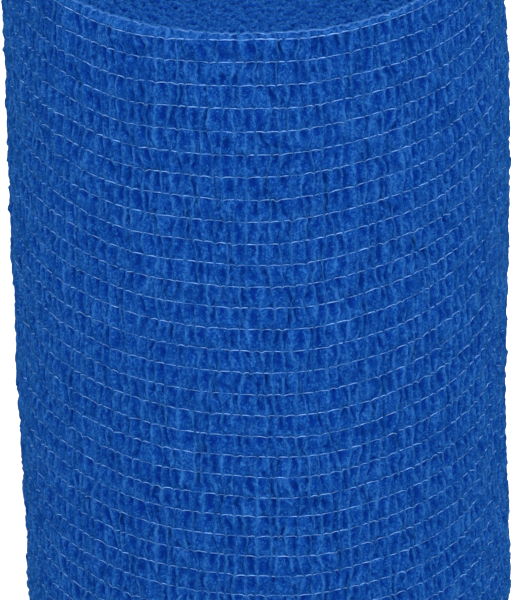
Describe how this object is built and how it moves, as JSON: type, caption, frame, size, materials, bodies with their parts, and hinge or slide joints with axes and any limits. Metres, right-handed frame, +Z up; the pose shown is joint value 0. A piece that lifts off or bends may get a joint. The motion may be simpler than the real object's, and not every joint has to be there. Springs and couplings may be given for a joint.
{
  "type": "cohesive bandage roll",
  "caption": "Coreless roll of crinkled self-adhering elastic bandage with lengthwise elastic threads, standing on end.",
  "frame": {"origin": "centre of the base, the middle of the roll's extent in X and Y on the face it stands on", "axes": "+Z up along the winding axis, the strip's width; -Y is the front; the strip's cut end lies flat at the back, +Y"},
  "size_m": [0.0572, 0.0572, 0.1],
  "materials": {
    "bandage_fabric": "matte crinkled blue nonwoven cloth with thin pale elastic threads"
  },
  "bodies": {
    "root": {"bandage_roll": "bandage_fabric"}
  },
  "joints": []
}
